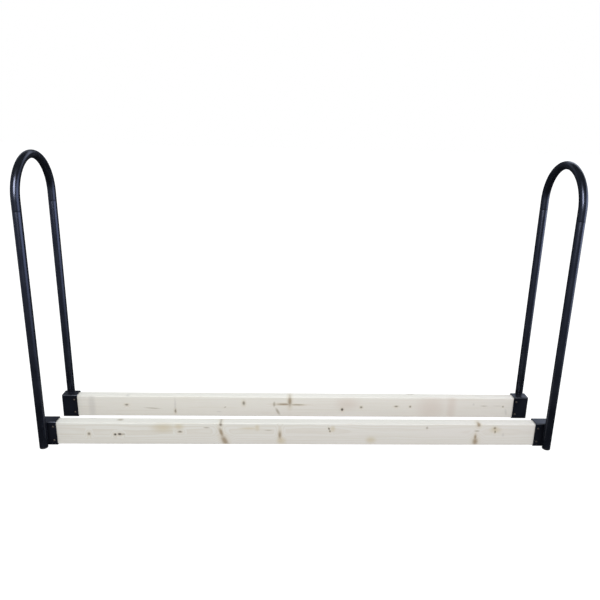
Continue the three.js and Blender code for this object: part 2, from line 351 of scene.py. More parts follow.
class Graph:
    """A node tree, with a short call for each kind of node that the finishes use."""

    def __init__(self, owner: bpy.types.Material | bpy.types.World) -> None:
        """Starts an empty tree.

        Args:
            owner: The material or world that the tree is for.
        """
        owner.use_nodes = True
        self.owner = owner
        self.tree = owner.node_tree
        self.tree.nodes.clear()

    @classmethod
    def for_material(cls, name: str) -> "Graph":
        """Starts a new material."""
        return cls(bpy.data.materials.new(name))

    def node(self, kind: str, values: dict | None = None, **settings: object) -> bpy.types.Node:
        """Adds a node.

        Args:
            kind: The node's type, without its ShaderNode prefix.
            values: Its inputs by name or number, each a plain value or a socket to link from.
            settings: Its properties.

        Returns:
            The node.
        """
        made = self.tree.nodes.new(f"ShaderNode{kind}")
        for name, setting in settings.items():
            setattr(made, name, setting)
        for key, value in (values or {}).items():
            if isinstance(value, Socket):
                self.tree.links.new(value, made.inputs[key])
            else:
                made.inputs[key].default_value = value
        return made

    def place(self) -> Socket:
        """The point on the piece, in its own metres."""
        return self.node("TexCoord").outputs["Object"]

    def facing(self) -> Socket:
        """The surface's direction, in the piece's own axes."""
        return self.node("TexCoord").outputs["Normal"]

    def split(self, vector: Socket) -> tuple[Socket, Socket, Socket]:
        """Splits a vector into its X, Y and Z."""
        parts = self.node("SeparateXYZ", {"Vector": vector})
        return parts.outputs["X"], parts.outputs["Y"], parts.outputs["Z"]

    def maths(self, operation: str, first: float | Socket, second: float | Socket = 0.0) -> Socket:
        """Works out a sum of one or two values."""
        return self.node("Math", {0: first, 1: second}, operation=operation).outputs[0]

    def product(self, *factors: float | Socket) -> Socket:
        """Multiplies any number of values."""
        result, *others = factors
        for other in others:
            result = self.maths("MULTIPLY", result, other)
        return result

    def shift(self, vector: Socket, push: Socket) -> Socket:
        """Adds one vector to another."""
        return self.node("VectorMath", {0: vector, 1: push}, operation="ADD").outputs[0]

    def cloud(self, vector: Socket, density: Triple, detail: float = 3.0) -> bpy.types.Node:
        """Adds cloudy noise.

        Args:
            vector: The place that it is read at.
            density: How many clouds there are in a metre, along each axis.
            detail: How many finer layers it has.

        Returns:
            The noise node, whose outputs are Fac and Color.
        """
        spread = self.node("Mapping", {"Vector": vector, "Scale": density})
        return self.node("TexNoise", {"Vector": spread.outputs[0], "Scale": 1.0, "Detail": detail})

    def wander(self, vector: Socket, density: Triple, reach: Triple) -> Socket:
        """Moves each place a little, one way and the other.

        Args:
            vector: The place.
            density: How many turns there are in a metre, along each axis.
            reach: How far it moves along each axis, in metres.

        Returns:
            The moved place.
        """
        cloud = self.cloud(vector, density, 2.0).outputs["Color"]
        centred = self.node("VectorMath", {0: cloud, 1: (0.5, 0.5, 0.5)}, operation="SUBTRACT")
        sized = self.node("VectorMath", {0: centred.outputs[0], 1: reach}, operation="MULTIPLY")
        return self.shift(vector, sized.outputs[0])

    def fade(self, value: Socket, start: float, stop: float, low: float = 0.0, high: float = 1.0) -> Socket:
        """Turns a value's range into a smooth step.

        Args:
            value: The value.
            start: Where the step starts.
            stop: Where it ends. It may be below the start.
            low: The result at the start.
            high: The result at the end.

        Returns:
            The stepped value.
        """
        inputs = {"Value": value, "From Min": start, "From Max": stop, "To Min": low, "To Max": high}
        return self.node("MapRange", inputs, interpolation_type="SMOOTHSTEP").outputs["Result"]

    def blend(self, factor: float | Socket, first: Colour | Socket, second: Colour | Socket) -> Socket:
        """Mixes two colours.

        Args:
            factor: How much of the second there is.
            first: The first colour.
            second: The second colour.

        Returns:
            The mixed colour.
        """
        inputs = {0: factor, 6: opaque(first), 7: opaque(second)}
        return self.node("Mix", inputs, data_type="RGBA").outputs[2]

    def relief(self, height: Socket, depth: float, strength: float = 1.0) -> Socket:
        """Makes a fine relief from a height.

        Args:
            height: The height, from 0 to 1.
            depth: The real height of 1, in metres.
            strength: How strongly it turns the light.

        Returns:
            The surface's new direction.
        """
        inputs = {"Height": height, "Distance": depth, "Strength": strength}
        return self.node("Bump", inputs).outputs["Normal"]

    def surface(self, values: dict[str, object]) -> bpy.types.Material:
        """Ends the tree in a surface shader.

        Args:
            values: The shader's inputs.

        Returns:
            The material.
        """
        shader = self.node("BsdfPrincipled", values)
        self.node("OutputMaterial", {"Surface": shader.outputs[0]})
        return self.owner


def toned(colour: Colour, tone: float) -> Colour:
    """Lightens or darkens a colour."""
    red, green, blue = colour
    return red * tone, green * tone, blue * tone


def opaque(colour: Colour | Socket) -> tuple[float, ...] | Socket:
    """Adds full opacity to a plain colour, and leaves a socket as it is."""
    return colour if isinstance(colour, Socket) else (*colour, 1.0)


@dataclass(frozen=True)
class PowderCoat:
    """Semi-gloss black powder coat on steel."""

    slot: str
    black: Colour = (0.0042, 0.0046, 0.0062)
    bloom: Colour = (0.0085, 0.0092, 0.0120)
    dust: Colour = (0.05, 0.052, 0.058)
    glint: Colour = (0.58, 0.67, 1.00)
    gloss: tuple[float, float] = (0.24, 0.34)
    peel_density: float = 520.0
    peel_depth: float = 0.000007
    shine: float = 0.5
    # Colour and strength of the lighter line along the folds: a painted highlight, also standing for abraded
    # coat.
    worn: Colour = (0.085, 0.088, 0.098)
    fold_wear: float = 0.0

    def material(self) -> bpy.types.Material:
        """Builds the coat: a black that varies a little, with a fine orange peel.

        Returns:
            The material.
        """
        graph = Graph.for_material(f"powder_coat_{self.slot}")
        place = graph.place()
        patches = graph.cloud(place, (14.0, 14.0, 9.0)).outputs["Fac"]
        specks = graph.cloud(place, (1400.0,) * 3, 1.0).outputs["Fac"]
        peel = graph.cloud(place, (self.peel_density,) * 3, 2.0).outputs["Fac"]
        dust = graph.product(graph.fade(specks, 0.62, 0.78), graph.fade(patches, 0.35, 0.75))
        bloomed = graph.blend(graph.fade(patches, 0.35, 0.7), self.black, self.bloom)
        colour = graph.blend(graph.product(dust, 0.3), bloomed, self.dust)
        # The folds get a lighter colour: a painted highlight of the rounded folds, also standing for coat
        # abraded thin there.
        if self.fold_wear:
            colour = graph.blend(self.wear(graph, place), colour, self.worn)
        smooth, dull = self.gloss
        return graph.surface({
            "Base Color": colour,
            "Roughness": graph.fade(patches, 0.3, 0.75, smooth, dull),
            "Specular IOR Level": self.shine,
            "Specular Tint": opaque(self.glint),
            "Normal": graph.relief(peel, self.peel_depth, 1.0),
        })

    def wear(self, graph: Graph, place: Socket) -> Socket:
        """Finds the folds that run lengthwise, where the coat gets a painted highlight that also stands for
        coat abraded thin.

        Args:
            graph: The material's tree.
            place: The point on the piece.

        Returns:
            How strongly the fold's painted highlight and abrasion show.
        """
        _, deep, up = graph.split(graph.facing())
        slant = graph.maths("ABSOLUTE", graph.product(deep, up))
        highlight_and_abrasion_patches = graph.cloud(place, (60.0, 260.0, 260.0)).outputs["Fac"]
        patchy = graph.fade(highlight_and_abrasion_patches, 0.30, 0.62, 0.25 * self.fold_wear, self.fold_wear)
        return graph.product(graph.fade(slant, 0.16, 0.46), patchy)


@dataclass(frozen=True)
class MouldedPlastic:
    """Black moulded polyethylene, scuffed where it meets the ground."""

    slot: str = "foot_plastic"
    black: Colour = (0.012, 0.012, 0.014)
    scuff: Colour = (0.075, 0.072, 0.068)
    scuff_height: float = 0.003

    def material(self) -> bpy.types.Material:
        """Builds the plastic: fine mould grain, and pale scuffs low down.

        Returns:
            The material.
        """
        graph = Graph.for_material("moulded_plastic")
        place = graph.place()
        grain = graph.cloud(place, (2600.0,) * 3, 2.0).outputs["Fac"]
        scratches = graph.cloud(place, (260.0, 900.0, 420.0)).outputs["Fac"]
        low = graph.fade(graph.split(place)[2], self.scuff_height, 0.0)
        scuffed = graph.product(graph.fade(scratches, 0.45, 0.7), low)
        return graph.surface({
            "Base Color": graph.blend(graph.product(scuffed, 0.8), self.black, self.scuff),
            "Roughness": graph.fade(scratches, 0.3, 0.7, 0.44, 0.62),
            "Normal": graph.relief(grain, 0.00004, 0.5),
        })


@dataclass(frozen=True)
class ZincPlate:
    """Zinc-plated steel with a faint warm passivation."""

    slot: str = "screw_zinc"
    bright: Colour = (0.085, 0.074, 0.066)
    dull: Colour = (0.042, 0.037, 0.034)

    def material(self) -> bpy.types.Material:
        """Builds the plating: clouded metal, duller in patches.

        Returns:
            The material.
        """
        graph = Graph.for_material("zinc_plate")
        place = graph.place()
        clouds = graph.cloud(place, (420.0,) * 3).outputs["Fac"]
        grit = graph.cloud(place, (3000.0,) * 3, 2.0).outputs["Fac"]
        return graph.surface({
            "Base Color": graph.blend(graph.fade(clouds, 0.35, 0.7), self.bright, self.dull),
            "Metallic": 0.9,
            "Roughness": graph.fade(clouds, 0.3, 0.7, 0.34, 0.55),
            "Normal": graph.relief(grit, 0.00003, 0.4),
        })


@dataclass(frozen=True)
class MarkLook:
    """How one kind of mark shows in the wood.

    Attributes:
        colour: Its colour.
        strength: How far it covers the wood.
        core: Where full strength starts, as a share of its size.
        edge: Where it ends, as a share of its size.
        depth: How far into the wood it reaches, in metres.
    """

    colour: Colour
    strength: float
    core: float
    edge: float
    depth: float


MARK_LOOKS = {
    Mark.BLUSH: MarkLook((0.58, 0.46, 0.40), 0.34, 0.1, 1.5, 0.010),
    Mark.STAIN: MarkLook((0.52, 0.42, 0.24), 0.46, 0.1, 1.5, 0.010),
    Mark.SHADOW: MarkLook((0.37, 0.34, 0.34), 0.24, 0.3, 1.4, 0.006),
    Mark.STREAK: MarkLook((0.24, 0.185, 0.11), 0.55, 0.2, 1.6, 0.006),
    Mark.BROWN_KNOT: MarkLook((0.245, 0.165, 0.085), 0.72, 0.25, 1.55, 0.060),
    Mark.GREY_KNOT: MarkLook((0.130, 0.105, 0.070), 0.74, 0.20, 1.55, 0.060),
    Mark.BLACK_KNOT: MarkLook((0.036, 0.026, 0.017), 0.92, 0.40, 1.40, 0.070),
}
KNOTS = (Mark.BROWN_KNOT, Mark.GREY_KNOT, Mark.BLACK_KNOT)


@dataclass(frozen=True)
class WoodMark:
    """A knot or a mark on the face of a rail.

    Attributes:
        mark: What it is.
        along: Its place along the rail, from the middle.
        height: Its height above the rail's middle line.
        half_length: Half its size along the rail.
        half_height: Half its size up the rail.
        tilt: How far it leans, in degrees, clockwise from the front.
        into: How far its middle is behind the rail's front face.
        half_depth: Half its size into the wood. Zero means as deep as its kind goes.
    """

    mark: Mark
    along: float
    height: float
    half_length: float
    half_height: float
    tilt: float = 0.0
    into: float = 0.0
    half_depth: float = 0.0


@dataclass(frozen=True)
class Whitewood:
    """Planed whitewood with fine growth rings, fibres, knots and stains.

    Attributes:
        pith: Where the middle of the tree was, behind and above the rail's own middle.
        marks: The knots and marks.
        half_thickness: Half the rail's thickness, which puts the marks on its front face.
        tone: How light this piece of wood is. The rails' two tones are painted light and shade for how each
            rail is lit.
    """

    pith: tuple[float, float]
    marks: tuple[WoodMark, ...]
    half_thickness: float
    name: str
    slot: str = "rail_timber"
    early: Colour = (0.740, 0.718, 0.674)
    late: Colour = (0.645, 0.595, 0.515)
    rosy: Colour = (0.750, 0.700, 0.668)
    tone: float = 1.0
    halo: Colour = (0.53, 0.42, 0.27)
    end_grain: Colour = (0.50, 0.40, 0.27)
    end_rings: Colour = (0.33, 0.23, 0.13)
    end_fuzz: Colour = (0.62, 0.52, 0.38)
    ring_width: float = 0.0032

    def nearness(self, graph: Graph, place: Socket, mark: Mark) -> Socket | None:
        """Measures the way to the nearest mark of a kind, as a share of its size.

        Args:
            graph: The material's tree.
            place: The point on the rail.
            mark: The kind of mark.

        Returns:
            The distance, or None where there is no such mark.
        """
        nearest = None
        for item in self.marks:
            if item.mark is not mark:
                continue
            where = {
                "Vector": place,
                "Location": (item.along, item.into - self.half_thickness, item.height),
                "Rotation": (0.0, math.radians(item.tilt), 0.0),
                "Scale": (item.half_length, item.half_depth or MARK_LOOKS[mark].depth, item.half_height),
            }
            local = graph.node("Mapping", where, vector_type="TEXTURE")
            length = graph.node("VectorMath", {0: local.outputs[0]}, operation="LENGTH").outputs["Value"]
            nearest = length if nearest is None else graph.maths("MINIMUM", nearest, length)
        return nearest

    def material(self) -> bpy.types.Material:
        """Builds the wood from growth rings about the pith, fibres along it, and the marks.

        Returns:
            The material.
        """
        graph = Graph.for_material(self.name)
        place = graph.place()
        ragged = graph.wander(place, (120.0, 120.0, 240.0), (0.003, 0.001, 0.0018))
        near = {mark: self.nearness(graph, ragged, mark) for mark in Mark}
        nearest_knot, *others = [near[mark] for mark in KNOTS if near[mark]]
        for other in others:
            nearest_knot = graph.maths("MINIMUM", nearest_knot, other)

        drifted = graph.wander(place, (1.6, 9.0, 9.0), (0.0, 0.014, 0.014))
        waved = graph.wander(drifted, (9.0, 40.0, 40.0), (0.0, 0.0022, 0.0022))
        _, depth, height = graph.split(waved)
        behind = graph.maths("SUBTRACT", depth, self.pith[0])
        above = graph.maths("SUBTRACT", height, self.pith[1])
        radius = graph.maths("ADD", graph.product(behind, behind), graph.product(above, above))
        swirl = graph.fade(nearest_knot, 4.5, 0.6, 0.0, 0.007)
        reach = graph.maths("ADD", graph.maths("SQRT", radius), swirl)
        season = graph.maths("FRACT", graph.maths("DIVIDE", reach, self.ring_width))
        latewood = graph.product(graph.fade(season, 0.35, 0.88), graph.fade(season, 1.0, 0.93))

        fibres = graph.cloud(place, (11.0, 620.0, 620.0), 4.0).outputs["Fac"]
        strands = graph.cloud(place, (3.0, 120.0, 120.0)).outputs["Fac"]
        tone = graph.cloud(place, (1.3, 7.0, 7.0)).outputs["Fac"]

        # Every colour is scaled by the piece's tone, which for the two rails is painted light and shade.
        early, late, rosy = (toned(colour, self.tone) for colour in (self.early, self.late, self.rosy))
        colour = graph.blend(graph.product(latewood, 0.55), early, late)
        warm_end = graph.fade(graph.split(place)[0], -0.9, 0.9, 0.15, 0.75)
        colour = graph.blend(graph.product(warm_end, graph.fade(tone, 0.3, 0.7)), colour, rosy)
        colour = graph.blend(graph.fade(strands, 0.5, 0.78, 0.0, 0.4), colour, late)
        colour = graph.blend(graph.fade(fibres, 0.5, 0.85, 0.0, 0.35), colour, late)

        near_knot = graph.fade(nearest_knot, 2.8, 1.0, 0.0, 0.24)
        colour = graph.blend(near_knot, colour, self.halo)
        for mark, look in MARK_LOOKS.items():
            if near[mark]:
                shown = graph.fade(near[mark], look.edge, look.core, 0.0, look.strength)
                colour = graph.blend(shown, colour, look.colour)

        end_on = graph.maths("ABSOLUTE", graph.split(graph.facing())[0])
        end_mask = graph.fade(end_on, 0.6, 0.9)
        sawn = graph.cloud(place, (200.0, 900.0, 160.0), 4.0).outputs["Fac"]
        end_colour = graph.blend(graph.product(latewood, 0.6), self.end_grain, self.end_rings)
        end_colour = graph.blend(graph.fade(sawn, 0.4, 0.75, 0.0, 0.5), end_colour, self.end_fuzz)
        colour = graph.blend(end_mask, colour, end_colour)

        ridges = graph.maths("ADD", graph.product(latewood, 0.35), fibres)
        return graph.surface({
            "Base Color": colour,
            "Roughness": graph.fade(fibres, 0.3, 0.8, 0.52, 0.74),
            "Specular IOR Level": 0.3,
            "Normal": graph.relief(ridges, 0.00018, 0.6),
        })


# ------------------------------------------------------------------------------------------------------------
# Sub-assemblies
# ------------------------------------------------------------------------------------------------------------


class SubAssembly:
    """What every sub-assembly shares."""

    def dress(self, piece: Piece, material: bpy.types.Material, slot: str, node: str) -> Piece:
        """Gives a piece its material and puts it on the rack in a node's place.

        Args:
            piece: The piece, in place.
            material: Its material.
            slot: The record's material slot. Not used.
            node: The node that it stands for.

        Returns:
            The piece.
        """
        piece.data.materials.clear()
        piece.data.materials.append(material)
        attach(piece, BODY)
        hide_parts(node)
        return piece


@dataclass
class Hoop(SubAssembly):
    """An end frame's tubes: a bow pushed into two legs, with a plastic plug in each foot."""

    end: End
    coat: PowderCoat
    plastic: MouldedPlastic
    wall: float = 1.5 * MM
    swage_length: float = 0.7 * MM
    seat_gap: float = 0.3 * MM
    rim_ease: float = 0.35 * MM
    ovality: float = 0.018
    bend_blend: float = 30 * MM
    bend_step: float = 5 * MM
    flange_ease: float = 1.2 * MM
    stem_wall: float = 2 * MM
    rib_depth: float = 0.7 * MM
    rib_half_height: float = 1.2 * MM
    rib_count: int = 2
    gate_radius: float = 2.2 * MM
    gate_depth: float = 0.6 * MM
    segments: int = 56

    def __post_init__(self) -> None:
        """Reads the bow's sizes from the frame."""
        low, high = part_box(f"{self.end.label}_bow")
        self.axis_x = (low.x + high.x) / 2
        self.radius = (high.x - low.x) / 2
        self.bend_radius = (high.y - low.y) / 2 - self.radius
        self.bend_height = high.z - self.radius - self.bend_radius
        self.tip_height = low.z

    def leg_box(self, row: Row) -> tuple[Vector, Vector]:
        """The lowest and highest corner of a leg."""
        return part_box(f"{self.end.label}_{row.label}_leg")

    def bent(self, across: float, out: float, along: float) -> Vector:
        """Bends a point of the straight blank into the arch.

        Args:
            across: The point's place across the plane of the arch.
            out: Its height above the blank's axis, away from the bend's centre.
            along: Its place along the axis, from the crown.

        Returns:
            The point, from the middle of the arch at floor level.
        """
        half = self.bend_radius * math.pi / 2
        inside = min(1.0, max(0.0, (half - abs(along)) / self.bend_blend))
        flat = self.ovality * inside * inside * (3 - 2 * inside)
        turn = min(half, max(-half, along)) / self.bend_radius
        reach = self.bend_radius + out * (1 - flat)
        drop = max(0.0, abs(along) - half)
        return Vector((
            across * (1 + flat / 2),
            reach * math.sin(turn),
            self.bend_height + reach * math.cos(turn) - drop,
        ))

    def bow(self) -> EditMesh:
        """Skins the bow: a hollow arch with a swaged spigot at each end.

        Returns:
            The mesh, about the hoop's middle at floor level.
        """
        half = self.bend_radius * math.pi / 2
        neck = half + self.bend_height - self.leg_box(Row.FRONT)[1].z - self.seat_gap
        shoulder = neck - self.swage_length
        tip = half + self.bend_height - self.tip_height
        spigot = self.radius - self.wall - self.seat_gap
        outer = [
            Corner(spigot, -tip, self.rim_ease),
            Corner(spigot, -neck, self.swage_length / 2),
            Corner(self.radius, -shoulder, self.swage_length / 2),
            Corner(self.radius, shoulder, self.swage_length / 2),
            Corner(spigot, neck, self.swage_length / 2),
            Corner(spigot, tip, self.rim_ease),
        ]
        inner = [Corner(corner.x - self.wall, corner.y, corner.ease) for corner in reversed(outer)]
        blank = divided(eased(outer + inner, True), self.bend_step)
        rings = [
            [self.bent(point.x, point.y, station.y) for point in circle(station.x, 0.0, self.segments)]
            for station in blank
        ]
        return loft(rings, closed=True)

    def leg(self, row: Row) -> EditMesh:
        """Skins a leg: a straight tube with its cut ends deburred.

        Args:
            row: The leg's row.

        Returns:
            The mesh, about the leg's axis at floor level.
        """
        low, high = self.leg_box(row)
        bore = self.radius - self.wall
        outline = [
            Corner(bore, low.z, self.rim_ease),
            Corner(self.radius, low.z, self.rim_ease),
            Corner(self.radius, high.z, self.rim_ease),
            Corner(bore, high.z, self.rim_ease),
        ]
        return turned(eased(outline, True), self.segments, closed=True)

    def plug(self, row: Row) -> EditMesh:
        """Skins a foot plug: a round flange and a ribbed, hollow stem.

        Args:
            row: The plug's row.

        Returns:
            The mesh, about the leg's axis at floor level.
        """
        leg_bottom = self.leg_box(row)[0].z
        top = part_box(f"{self.end.label}_{row.label}_foot_plug")[1].z
        flange = leg_bottom - self.seat_gap
        rib = self.radius - self.wall - self.seat_gap
        stem = rib - self.rib_depth
        bore = stem - self.stem_wall
        pitch = (top - flange) / (self.rib_count + 1)
        ribs = []
        for index in range(self.rib_count):
            height = flange + (index + 1) * pitch
            ribs += [
                Corner(stem, height - self.rib_half_height, 0.3 * MM),
                Corner(rib, height, 0.25 * MM),
                Corner(stem, height + self.rib_half_height, 0.3 * MM),
            ]
        outline = [
            Corner(0.0, self.gate_depth),
            Corner(self.gate_radius, self.gate_depth, 0.2 * MM),
            Corner(self.gate_radius + self.gate_depth, 0.0, 0.3 * MM),
            Corner(self.radius, 0.0, self.flange_ease),
            Corner(self.radius, flange, self.rim_ease),
            Corner(stem, flange, 0.3 * MM),
            *ribs,
            Corner(stem, top, 0.5 * MM),
            Corner(bore, top, 0.4 * MM),
            Corner(bore, flange, 0.8 * MM),
            Corner(0.0, flange),
        ]
        return turned(eased(outline, False, 3), self.segments)

    def build(self) -> list[Piece]:
        """Makes and dresses the bow, the legs and the plugs.

        Returns:
            The pieces.
        """
        name = f"{self.end.label}_bow"
        coat = self.coat.material()
        plastic = self.plastic.material()
        bow = to_object(f"{name}_tube", self.bow(), Vector((self.axis_x, 0.0, 0.0)))
        pieces = [self.dress(bow, coat, self.coat.slot, name)]
        for row in Row:
            low, high = self.leg_box(row)
            axis = Vector((self.axis_x, (low.y + high.y) / 2, 0.0))
            name = f"{self.end.label}_{row.label}"
            leg = to_object(f"{name}_leg_tube", self.leg(row), axis)
            plug = to_object(f"{name}_foot_plug_moulding", self.plug(row), axis)
            pieces.append(self.dress(leg, coat, self.coat.slot, f"{name}_leg"))
            pieces.append(self.dress(plug, plastic, self.plastic.slot, f"{name}_foot_plug"))
        return pieces


@dataclass
class Holder(SubAssembly):
    """A folded sleeve that holds a rail's end, and the two weld beads that join it to its leg."""

    end: End
    row: Row
    sheet_coat: PowderCoat
    bead_coat: PowderCoat
    sheet: float = 2.5 * MM
    fold_radius: float = 4 * MM
    least_fold: float = 0.8 * MM
    fold_steps: int = 8
    edge_ease: float = 0.5 * MM
    hole_radius: float = 2.8 * MM
    toe_angle: float = 48.0
    bead_width: float = 8 * MM
    bead_crown: float = 0.9 * MM
    bead_sink: float = 0.4 * MM
    ripple_pitch: float = 3.4 * MM
    ripple_height: float = 0.42 * MM
    ripple_lag: float = 2.2 * MM
    bead_step: float = 0.55 * MM
    face_points: int = 9
    plate_gap: float = 0.3 * MM
    root_offset: float = 2.5 * MM
    toe_offset: float = 3 * MM
    wobble: float = 0.35 * MM
    wobble_pitch: float = 2.6 * MM
    end_run: float = 3 * MM
    end_swell: float = 0.12

    def __post_init__(self) -> None:
        """Reads the sleeve's and the leg's places from the frame."""
        self.name = f"{self.end.label}_{self.row.label}"
        self.low, self.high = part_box(f"{self.name}_sleeve")
        leg_low, leg_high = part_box(f"{self.name}_leg")
        self.leg_axis = (leg_low + leg_high) / 2
        self.leg_radius = (leg_high.x - leg_low.x) / 2

    def section(self, along: float, inset: float) -> Ring:
        """Draws the sleeve's section at a place along it.

        Args:
            along: The place, from the sleeve's middle.
            inset: How far the outline is inside the sheet's outer face.

        Returns:
            The section's points, about the sleeve's middle.
        """
        half_depth = (self.high.y - self.low.y) / 2 - inset
        half_height = (self.high.z - self.low.z) / 2 - inset
        ease = max(self.fold_radius - inset, self.least_fold)
        points = rounded_box(half_depth, half_height, ease, self.fold_steps)
        return [Vector((along, point.x, point.y)) for point in points]

    def sleeve(self) -> EditMesh:
        """Skins the sleeve, with its cut edges softened.

        Returns:
            The mesh, about the sleeve's middle.
        """
        half = (self.high.x - self.low.x) / 2
        wall = eased(
            [
                Corner(-half, 0.0, self.edge_ease),
                Corner(half, 0.0, self.edge_ease),
                Corner(half, self.sheet, self.edge_ease),
                Corner(-half, self.sheet, self.edge_ease),
            ],
            True,
            3,
        )
        return loft([self.section(point.x, point.y) for point in wall], closed=True)

    def screw_holes(self) -> list[EditMesh]:
        """Makes the cutters for the screw holes, through both side walls.

        Returns:
            The cutters, about the sleeve's middle.
        """
        middle = (self.low + self.high) / 2
        through = self.high.y - self.low.y
        cutters = []
        for level in Level:
            low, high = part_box(f"{self.name}_{level.value}_screw")
            centre = (low + high) / 2 - middle
            start = Vector((centre.x, -through, centre.z))
            stop = Vector((centre.x, through, centre.z))
            cutters.append(drill(self.hole_radius, start, stop))
        return cutters

    def bead_section(self, groove: Groove, height: float, swell: float, phase: float) -> Ring:
        """Draws a weld bead's section at a height.

        Args:
            groove: The bead's side of the leg.
            height: The height.
            swell: The bead's size there, where 1 is full.
            phase: A random start for its ripples.

        Returns:
            The section's points, about the leg's axis.
        """
        side = -self.end.value * groove.value
        to_plate = -self.row.value
        plate = self.leg_radius + self.plate_gap
        root = Vector((side * self.root_offset, to_plate * plate))
        wobble = self.wobble * math.sin(height / self.wobble_pitch + 5 * phase)
        angle = math.radians(self.toe_angle) + wobble / self.leg_radius
        tube_toe = self.leg_radius * Vector((side * math.sin(angle), to_plate * math.cos(angle)))
        plate_toe = Vector((side * (self.toe_offset + self.bead_width + wobble), to_plate * plate))
        chord = tube_toe - plate_toe
        outward = Vector((-chord.y, chord.x)).normalized()
        if outward.x * side < 0:
            outward = -outward
        face = []
        for index in range(self.face_points):
            share = index / (self.face_points - 1)
            bow = 4 * share * (1 - share)
            lag = self.ripple_lag * bow
            wave = abs(math.sin(math.pi * ((height + lag) / self.ripple_pitch + phase)))
            rise = self.bead_crown * bow + self.ripple_height * math.sqrt(wave) * min(1.0, 2 * bow)
            face.append(plate_toe + share * chord + rise * outward)
        sunk_tube = tube_toe * (1 - self.bead_sink / self.leg_radius)
        sunk_plate = plate_toe + Vector((0.0, to_plate * self.bead_sink))
        outline = [sunk_plate, *face, sunk_tube, root]
        return [Vector((*root.lerp(point, swell), height)) for point in outline]

    def bead(self, groove: Groove) -> EditMesh:
        """Skins a weld bead with its ripples.

        Args:
            groove: The bead's side of the leg.

        Returns:
            The mesh, about the leg's axis at floor level.
        """
        low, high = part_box(f"{self.name}_weld_{groove.name.lower()}")
        phase = random.Random(f"{self.name}_{groove.name}").random()
        count = math.ceil((high.z - low.z) / self.bead_step)
        rings = []
        for index in range(count + 1):
            height = low.z + (high.z - low.z) * index / count
            from_end = min(height - low.z, high.z - height) / self.end_run
            round_off = math.sqrt(max(0.0, 1 - (1 - min(1.0, from_end)) ** 2))
            swell = self.end_swell + (1 - self.end_swell) * round_off
            rings.append(self.bead_section(groove, height, swell, phase))
        return loft(rings)

    def build(self) -> list[Piece]:
        """Makes and dresses the sleeve and its beads.

        Returns:
            The pieces.
        """
        sleeve = to_object(f"{self.name}_sleeve_sheet", self.sleeve(), (self.low + self.high) / 2)
        carve(sleeve, self.screw_holes())
        coat = self.sheet_coat.material()
        pieces = [self.dress(sleeve, coat, self.sheet_coat.slot, f"{self.name}_sleeve")]
        bead_coat = self.bead_coat.material()
        for groove in Groove:
            node = f"{self.name}_weld_{groove.name.lower()}"
            place = Vector((self.leg_axis.x, self.leg_axis.y, 0.0))
            bead = to_object(f"{node}_bead", self.bead(groove), place)
            pieces.append(self.dress(bead, bead_coat, self.bead_coat.slot, node))
        return pieces


